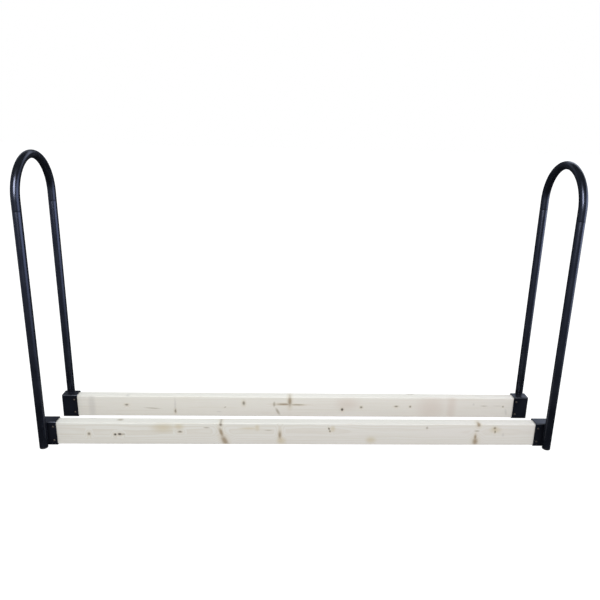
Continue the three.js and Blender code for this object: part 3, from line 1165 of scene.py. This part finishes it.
@dataclass
class Rail(SubAssembly):
    """A rail on edge, with the four wood screws that hold it in its sleeves."""

    row: Row
    pith: tuple[float, float]
    marks: tuple[WoodMark, ...]
    # How light the timber is: painted light and shade for how this rail is lit.
    tone: float
    zinc: ZincPlate
    edge_radius: float = 4 * MM
    edge_steps: int = 6
    saw_ease: float = 0.5 * MM
    station_step: float = 16 * MM
    warp: float = 0.3 * MM
    bow_waves: float = 2.3
    bow_start: float = 1.7
    cup_waves: float = 5.1
    head_height: float = 3 * MM
    crown_radius: float = 0.62
    crown_height: float = 0.98
    crown_ease: float = 3 * MM
    rim_height: float = 0.52
    rim_ease: float = 1.6 * MM
    seat_ease: float = 0.25 * MM
    recess_mouth: Triple = (0.4 * MM, 2.5 * MM, 0.62 * MM)
    recess_floor: Triple = (-2.0 * MM, 1.1 * MM, 0.34 * MM)
    spin_step: float = 0.7
    shank_radius: float = 2.3 * MM
    thread_root: float = 1.6 * MM
    thread_pitch: float = 1.8 * MM
    neck_length: float = 2.2 * MM
    point_length: float = 6 * MM
    thread_step: float = 0.22 * MM
    crest_share: float = 0.28
    neck_gain: float = 0.3 * MM
    screw_segments: int = 28
    pilot_gap: float = 0.3 * MM

    def __post_init__(self) -> None:
        """Reads the rail's place from the frame."""
        self.node = f"{self.row.label}_board"
        self.low, self.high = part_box(self.node)
        self.middle = (self.low + self.high) / 2
        self.half = (self.high - self.low) / 2

    def section(self, along: float, inset: float) -> Ring:
        """Draws the timber's section at a place along it.

        Args:
            along: The place, from the rail's middle.
            inset: How far the outline is inside the full section.

        Returns:
            The section's points, about the rail's middle.
        """
        bow = self.warp * math.sin(self.bow_waves * along + self.bow_start * self.row.value)
        cup = self.warp * math.sin(self.cup_waves * along + self.row.value)
        points = rounded_box(self.half.y - inset, self.half.z - inset, self.edge_radius, self.edge_steps)
        return [Vector((along, point.x + bow, point.y + cup * point.x / self.half.y)) for point in points]

    def timber(self) -> EditMesh:
        """Skins the rail: a length of planed timber with sawn ends.

        Returns:
            The mesh, about the rail's middle.
        """
        count = math.ceil(2 * (self.half.x - self.saw_ease) / self.station_step)
        span = self.half.x - self.saw_ease
        rings = [self.section(-self.half.x, self.saw_ease)]
        rings += [self.section(span * (2 * index / count - 1), 0.0) for index in range(count + 1)]
        rings.append(self.section(self.half.x, self.saw_ease))
        return loft(rings)

    def screw_boxes(self) -> list[tuple[str, Vector, Vector]]:
        """Each screw's node with its lowest and highest corner."""
        nodes = [f"{end.label}_{self.row.label}_{level.value}_screw" for end in End for level in Level]
        return [(node, *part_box(node)) for node in nodes]

    def pilot_holes(self) -> list[EditMesh]:
        """Makes the cutters for the screws' pilot holes.

        Returns:
            The cutters, about the rail's middle.
        """
        cutters = []
        for _, low, high in self.screw_boxes():
            centre = (low + high) / 2
            start = Vector((centre.x, low.y, centre.z)) - self.middle
            stop = Vector((centre.x, high.y + MM, centre.z)) - self.middle
            cutters.append(drill(self.shank_radius + self.pilot_gap, start, stop))
        return cutters

    def thread_ring(self, depth: float, length: float) -> Ring:
        """Draws the shank's outline at a depth under the head.

        Args:
            depth: The depth.
            length: The shank's whole length.

        Returns:
            The ring, whose radius rises where the thread passes.
        """
        taper = min(1.0, (length - depth) / self.point_length)
        started = min(1.0, max(0.0, (depth - self.neck_length) / self.thread_pitch))
        points = []
        for index in range(self.screw_segments):
            angle = 2 * math.pi * index / self.screw_segments
            turn = (depth / self.thread_pitch + index / self.screw_segments) % 1.0
            crest = max(0.0, 1 - abs(turn - 0.5) / self.crest_share) * started
            neck = self.thread_root + self.neck_gain * (1 - started)
            radius = (neck + crest * (self.shank_radius - self.thread_root)) * taper
            points.append(Vector((radius * math.cos(angle), radius * math.sin(angle), -depth)))
        return points

    def screw(self, low: Vector, high: Vector) -> EditMesh:
        """Skins a pan-head wood screw, head up, with its seat at zero height.

        Args:
            low: The lowest corner of its node.
            high: The highest corner of its node.

        Returns:
            The mesh.
        """
        head_radius = (high.x - low.x) / 2
        length = high.y - low.y - self.head_height
        head = eased(
            [
                Corner(0.0, self.head_height),
                Corner(
                    self.crown_radius * head_radius, self.head_height * self.crown_height, self.crown_ease
                ),
                Corner(head_radius, self.head_height * self.rim_height, self.rim_ease),
                Corner(head_radius, 0.0, self.seat_ease),
                Corner(self.thread_root + self.neck_gain, 0.0),
            ],
            False,
        )
        rings = [circle(point.x, point.y, self.screw_segments) for point in head]
        count = math.ceil(length / self.thread_step)
        rings += [self.thread_ring(length * index / count, length) for index in range(1, count)]
        rings.append([Vector((0.0, 0.0, -length))])
        return loft(rings)

    def cross_recess(self) -> EditMesh:
        """Makes the cutter for the cross in a screw's head.

        Its mouth and its floor each give a height above the head's top, an arm's reach and half its width.

        Returns:
            The cutter.
        """
        rings = []
        for rise, arm, half_width in (self.recess_mouth, self.recess_floor):
            height = self.head_height + rise
            ring = []
            for quarter in range(4):
                turn = Matrix.Rotation(quarter * math.pi / 2, 3, "Z")
                ring += [
                    turn @ Vector((arm, -half_width, height)),
                    turn @ Vector((arm, half_width, height)),
                    turn @ Vector((half_width, half_width, height)),
                ]
            rings.append(ring)
        return loft(rings)

    def build(self) -> list[Piece]:
        """Makes and dresses the timber and the screws.

        Returns:
            The pieces.
        """
        wood = Whitewood(self.pith, self.marks, self.half.y, f"whitewood_{self.row.label}", tone=self.tone)
        timber = to_object(f"{self.node}_timber", self.timber(), self.middle)
        carve(timber, self.pilot_holes())
        pieces = [self.dress(timber, wood.material(), wood.slot, self.node)]
        zinc = self.zinc.material()
        for index, (node, low, high) in enumerate(self.screw_boxes()):
            screw = to_object(f"{node}_zinc", self.screw(low, high))
            carve(screw, [self.cross_recess()])
            seat = Vector(((low.x + high.x) / 2, low.y + self.head_height, (low.z + high.z) / 2))
            spin = Matrix.Rotation(self.spin_step * index + self.row.value, 4, "Z")
            lay_down = Matrix.Rotation(math.pi / 2, 4, "X")
            screw.data.transform(Matrix.Translation(seat) @ lay_down @ spin)
            pieces.append(self.dress(screw, zinc, self.zinc.slot, node))
        return pieces


# ------------------------------------------------------------------------------------------------------------
# Studio
# ------------------------------------------------------------------------------------------------------------


@dataclass(frozen=True)
class Softbox:
    """A soft studio lamp.

    Attributes:
        name: Its name.
        place: Where it hangs.
        target: What it points at.
        size: Its width and height.
        power: Its power, in watts.
        colour: Its colour.
        in_gloss: Whether glossy surfaces mirror it.
        in_matt: Whether it lights matt surfaces.
    """

    name: str
    place: Triple
    target: Triple
    size: tuple[float, float]
    power: float
    colour: Colour = (1.0, 1.0, 1.0)
    in_gloss: bool = True
    in_matt: bool = True

    def build(self) -> Piece:
        """Hangs the lamp.

        Returns:
            The lamp.
        """
        data = bpy.data.lights.new(self.name, "AREA")
        data.shape = "RECTANGLE"
        data.size, data.size_y = self.size
        data.energy = self.power
        data.color = self.colour
        lamp = bpy.data.objects.new(self.name, data)
        lamp.location = self.place
        aim = Vector(self.target) - Vector(self.place)
        lamp.rotation_euler = aim.to_track_quat("-Z", "Y").to_euler()
        lamp.visible_glossy = self.in_gloss
        lamp.visible_diffuse = self.in_matt
        bpy.context.scene.collection.objects.link(lamp)
        return lamp


@dataclass
class Studio:
    """A pale floor, soft light and the camera."""

    softboxes: tuple[Softbox, ...]
    floor_size: float = 60.0
    floor_glow: float = 0.84
    sky: Colour = (0.80, 0.815, 0.82)
    ground: Colour = (0.52, 0.505, 0.485)
    dim_wall: Colour = (0.030, 0.034, 0.042)
    lit_wall: Colour = (0.44, 0.48, 0.56)
    right_wall: Colour = (4.0, 4.3, 5.1)
    back_wall: Colour = (1.7, 1.85, 2.15)
    camera_place: Triple = (-0.05554, -2.01446, 1.17412)
    heading: float = 2.175
    pitch: float = 15.353
    roll: float = 1.353
    lens: float = 33.364
    shift: tuple[float, float] = (-0.0119, -0.0326)

    def floor(self) -> Piece:
        """Lays the floor, a pale backdrop that takes soft shadows.

        Returns:
            The floor.
        """
        half = self.floor_size / 2
        mesh = bmesh.new()
        bmesh.ops.create_grid(mesh, x_segments=2, y_segments=2, size=half)
        floor = to_object("studio_floor", mesh)
        graph = Graph.for_material("studio_floor")
        cloud = graph.cloud(graph.place(), (0.6,) * 3).outputs["Fac"]
        material = graph.surface({
            "Base Color": graph.blend(cloud, (0.33,) * 3, (0.36,) * 3),
            "Roughness": 0.9,
            "Specular IOR Level": 0.0,
            "Emission Color": (1.0, 1.0, 1.0, 1.0),
            "Emission Strength": self.floor_glow,
        })
        material.cycles.emission_sampling = "NONE"
        floor.data.materials.append(material)
        floor.visible_glossy = False
        floor.visible_diffuse = False
        return floor

    def world(self) -> None:
        """Makes the surround.

        Camera rays meet a white backdrop, matt surfaces soft light from all round, and glossy ones dim walls
        with a paler band, a bright right wall and a bright patch behind.
        """
        world = bpy.data.worlds.new("studio")
        graph = Graph(world)
        across, deep, up = graph.split(graph.node("TexCoord").outputs["Generated"])
        band = graph.product(
            graph.fade(up, -0.56, -0.02), graph.fade(up, 0.65, 0.15), graph.fade(deep, 0.7, -0.1, 0.12, 1.0)
        )
        walls = graph.blend(band, self.dim_wall, self.lit_wall)
        right = graph.product(
            graph.fade(across, 0.66, 0.88),
            graph.fade(deep, 0.35, 0.05),
            graph.fade(up, -0.42, 0.05),
            graph.fade(up, 0.62, 0.20),
        )
        walls = graph.blend(right, walls, self.right_wall)
        back = graph.product(
            graph.fade(across, -0.3, 0.35, 0.25, 1.0),
            graph.fade(deep, 0.3, 0.6),
            graph.fade(deep, 0.90, 0.80),
            graph.fade(up, 0.20, 0.42),
            graph.fade(up, 0.75, 0.55),
        )
        walls = graph.blend(back, walls, self.back_wall)
        around = graph.blend(graph.fade(up, -0.3, 0.3), self.ground, self.sky)
        path = graph.node("LightPath").outputs
        light = graph.blend(path["Is Glossy Ray"], around, walls)
        seen = graph.blend(path["Is Camera Ray"], light, (1.0, 1.0, 1.0))
        background = graph.node("Background", {"Color": seen})
        graph.node("OutputWorld", {"Surface": background.outputs[0]})
        bpy.context.scene.world = world

    def camera(self) -> Piece:
        """Sets up the camera.

        Returns:
            The camera.
        """
        heading, pitch, roll = (math.radians(angle) for angle in (self.heading, self.pitch, self.roll))
        ahead = Vector((
            math.sin(heading) * math.cos(pitch),
            math.cos(heading) * math.cos(pitch),
            -math.sin(pitch),
        ))
        level_right = Vector((math.cos(heading), -math.sin(heading), 0.0))
        level_up = level_right.cross(ahead)
        right = math.cos(roll) * level_right + math.sin(roll) * level_up
        up = math.cos(roll) * level_up - math.sin(roll) * level_right
        turn = Matrix((right, up, -ahead)).transposed()
        data = bpy.data.cameras.new("studio_camera")
        data.lens = self.lens
        data.shift_x, data.shift_y = self.shift
        camera = bpy.data.objects.new("studio_camera", data)
        camera.matrix_world = Matrix.Translation(self.camera_place) @ turn.to_4x4()
        bpy.context.scene.collection.objects.link(camera)
        bpy.context.scene.camera = camera
        return camera

    def build(self) -> None:
        """Sets up the whole studio."""
        self.world()
        self.floor()
        for softbox in self.softboxes:
            softbox.build()
        self.camera()
        bpy.context.scene.view_settings.view_transform = "Standard"


CENTRE = (0.0, 0.0, 0.0)
COOL = (0.76, 0.91, 1.0)
WARM = (1.0, 0.985, 0.96)
KEY_TINT = (0.95, 0.90, 0.82)

SOFTBOXES = (
    Softbox("overhead_softbox", (0.0, -1.6, 3.0), CENTRE, (3.6, 2.2), 38.0, COOL, in_gloss=False),
    Softbox("front_softbox", (0.0, -3.6, 2.9), CENTRE, (4.0, 1.4), 59.0, WARM, in_gloss=False),
    Softbox("key_strip", (-0.85, -2.7, 2.3), (-0.9, 0.0, 0.9), (1.2, 1.9), 270.0, KEY_TINT, in_matt=False),
)

FRONT_MARKS = (
    WoodMark(Mark.SHADOW, -0.785, 0.0445, 0.0140, 0.0040, into=0.032, half_depth=0.004),
    WoodMark(Mark.GREY_KNOT, -0.791, -0.0015, 0.0050, 0.0060),
    WoodMark(Mark.BLACK_KNOT, -0.694, -0.0040, 0.0050, 0.0048),
    WoodMark(Mark.BLACK_KNOT, -0.677, -0.0025, 0.0070, 0.0046),
    WoodMark(Mark.STREAK, -0.664, -0.0030, 0.0080, 0.0034),
    WoodMark(Mark.STREAK, -0.678, 0.0445, 0.0110, 0.0040, into=0.024, half_depth=0.008),
    WoodMark(Mark.STAIN, -0.515, 0.0240, 0.0450, 0.0190),
    WoodMark(Mark.STAIN, -0.455, 0.0300, 0.0200, 0.0120),
    WoodMark(Mark.GREY_KNOT, -0.451, 0.0085, 0.0070, 0.0038),
    WoodMark(Mark.STREAK, -0.351, 0.0265, 0.0110, 0.0026),
    WoodMark(Mark.GREY_KNOT, -0.2975, 0.0390, 0.0055, 0.0065),
    WoodMark(Mark.BROWN_KNOT, -0.2960, 0.0060, 0.0060, 0.0190, -17.0),
    WoodMark(Mark.BROWN_KNOT, -0.2835, -0.0290, 0.0100, 0.0220, -24.0),
    WoodMark(Mark.STAIN, -0.160, 0.0260, 0.0100, 0.0130),
    WoodMark(Mark.STAIN, -0.190, 0.0240, 0.0400, 0.0050),
    WoodMark(Mark.STREAK, -0.1175, 0.0160, 0.0130, 0.0016),
    WoodMark(Mark.BROWN_KNOT, -0.0740, -0.0030, 0.0055, 0.0150),
    WoodMark(Mark.STAIN, -0.0680, -0.0290, 0.0180, 0.0160),
    WoodMark(Mark.BLACK_KNOT, 0.1125, 0.0235, 0.0028, 0.0048, -15.0),
    WoodMark(Mark.GREY_KNOT, 0.1165, 0.0130, 0.0030, 0.0045, -15.0),
    WoodMark(Mark.STAIN, 0.127, 0.0230, 0.0110, 0.0130),
    WoodMark(Mark.STAIN, 0.275, -0.0240, 0.0200, 0.0150),
    WoodMark(Mark.STREAK, 0.489, 0.0285, 0.0040, 0.0045),
    WoodMark(Mark.SHADOW, 0.489, 0.0280, 0.0110, 0.0020),
    WoodMark(Mark.SHADOW, 0.489, 0.0285, 0.0020, 0.0120),
    WoodMark(Mark.BROWN_KNOT, 0.689, 0.0430, 0.0070, 0.0085, half_depth=0.018),
    WoodMark(Mark.STREAK, 0.684, 0.0160, 0.0090, 0.0034),
    WoodMark(Mark.BROWN_KNOT, 0.680, -0.0110, 0.0050, 0.0120),
    WoodMark(Mark.BROWN_KNOT, 0.681, -0.0290, 0.0095, 0.0140),
    WoodMark(Mark.GREY_KNOT, 0.7525, 0.0285, 0.0045, 0.0048),
    WoodMark(Mark.GREY_KNOT, 0.7550, 0.0130, 0.0028, 0.0055),
    WoodMark(Mark.STAIN, 0.755, 0.0210, 0.0220, 0.0130),
    WoodMark(Mark.SHADOW, 0.7875, 0.0000, 0.0050, 0.0080),
)

REAR_MARKS = (
    # A darker band over the rail's full height near its left end: a painted shadow of the left front leg.
    WoodMark(Mark.SHADOW, -0.8515, 0.0000, 0.0150, 0.0700),
    WoodMark(Mark.GREY_KNOT, -0.710, 0.0060, 0.0070, 0.0040),
    WoodMark(Mark.SHADOW, -0.705, 0.0445, 0.0090, 0.0050, into=0.010, half_depth=0.012),
    WoodMark(Mark.STREAK, -0.605, -0.0090, 0.0300, 0.0022, 3.5),
    WoodMark(Mark.GREY_KNOT, -0.511, -0.0220, 0.0036, 0.0085),
    WoodMark(Mark.SHADOW, -0.511, 0.0080, 0.0050, 0.0300),
    WoodMark(Mark.STREAK, -0.305, -0.0030, 0.0050, 0.0024, -25.0),
    WoodMark(Mark.SHADOW, -0.330, -0.0240, 0.0130, 0.0028),
    WoodMark(Mark.GREY_KNOT, -0.2275, 0.0160, 0.0055, 0.0090),
    WoodMark(Mark.STREAK, -0.101, 0.0110, 0.0050, 0.0110),
    WoodMark(Mark.STREAK, -0.086, -0.0215, 0.0055, 0.0160, -28.0),
    WoodMark(Mark.BROWN_KNOT, -0.036, 0.0250, 0.0075, 0.0210, half_depth=0.030),
    WoodMark(Mark.BROWN_KNOT, -0.060, 0.0115, 0.0290, 0.0042),
    WoodMark(Mark.BROWN_KNOT, -0.005, 0.0095, 0.0270, 0.0024),
    WoodMark(Mark.BLUSH, 0.205, 0.0150, 0.0500, 0.0300),
    WoodMark(Mark.BLACK_KNOT, 0.184, -0.0115, 0.0052, 0.0065),
    WoodMark(Mark.GREY_KNOT, 0.264, -0.0005, 0.0050, 0.0046),
    WoodMark(Mark.GREY_KNOT, 0.412, 0.0045, 0.0072, 0.0032),
    WoodMark(Mark.GREY_KNOT, 0.471, 0.0035, 0.0038, 0.0042),
    WoodMark(Mark.STREAK, 0.475, 0.0445, 0.0180, 0.0040, into=0.031, half_depth=0.003),
    WoodMark(Mark.BLUSH, 0.560, 0.0000, 0.0600, 0.0600),
    WoodMark(Mark.BLUSH, 0.645, 0.0000, 0.0220, 0.0900),
    WoodMark(Mark.SHADOW, 0.740, 0.0160, 0.0050, 0.0060),
    WoodMark(Mark.STREAK, 0.786, 0.0085, 0.0150, 0.0018),
    WoodMark(Mark.GREY_KNOT, 0.867, 0.0060, 0.0030, 0.0034),
    WoodMark(Mark.STREAK, 0.845, 0.0090, 0.0200, 0.0010),
    WoodMark(Mark.SHADOW, 0.882, -0.0200, 0.0050, 0.0170, -12.0),
)


def sub_assemblies() -> list[Hoop | Holder | Rail]:
    """Lists the rack's sub-assemblies.

    Returns:
        The hoops, the holders and the rails.
    """
    tube_coat = PowderCoat("steel_tube")
    # The sleeve's coat is a darker copy of the tube coat: its darker black and bloom are painted shade on the
    # flat sheet.
    sheet_coat = PowderCoat(
        "steel_sleeve",
        black=(0.0020, 0.0022, 0.0032),
        bloom=(0.0044, 0.0048, 0.0064),
        gloss=(0.26, 0.38),
        shine=0.38,
        # A lighter line along the sleeve's folds: a painted highlight, also standing for abraded coat.
        fold_wear=0.9,
    )
    bead_coat = PowderCoat("weld_bead", gloss=(0.30, 0.42))
    parts: list[Hoop | Holder | Rail] = [Hoop(end, tube_coat, MouldedPlastic()) for end in End]
    parts += [Holder(end, row, sheet_coat, bead_coat) for end in End for row in Row]
    # The front rail is toned darker and the rear one lighter: painted shade and painted light that even out
    # how the two rails are lit.
    parts.append(Rail(Row.FRONT, (0.060, 0.012), FRONT_MARKS, 0.955, ZincPlate()))
    parts.append(Rail(Row.REAR, (0.034, 0.070), REAR_MARKS, 1.045, ZincPlate()))
    return parts


def main() -> None:
    """Builds the rack and the studio, and reports each piece."""
    logging.basicConfig(level=logging.INFO, format="%(name)s: %(message)s")
    Studio(SOFTBOXES).build()
    for part in sub_assemblies():
        for piece in part.build():
            log.info("%s: %d faces, %s", piece.name, len(piece.data.polygons), type(part).__name__)


if __name__ == "__main__":
    main()
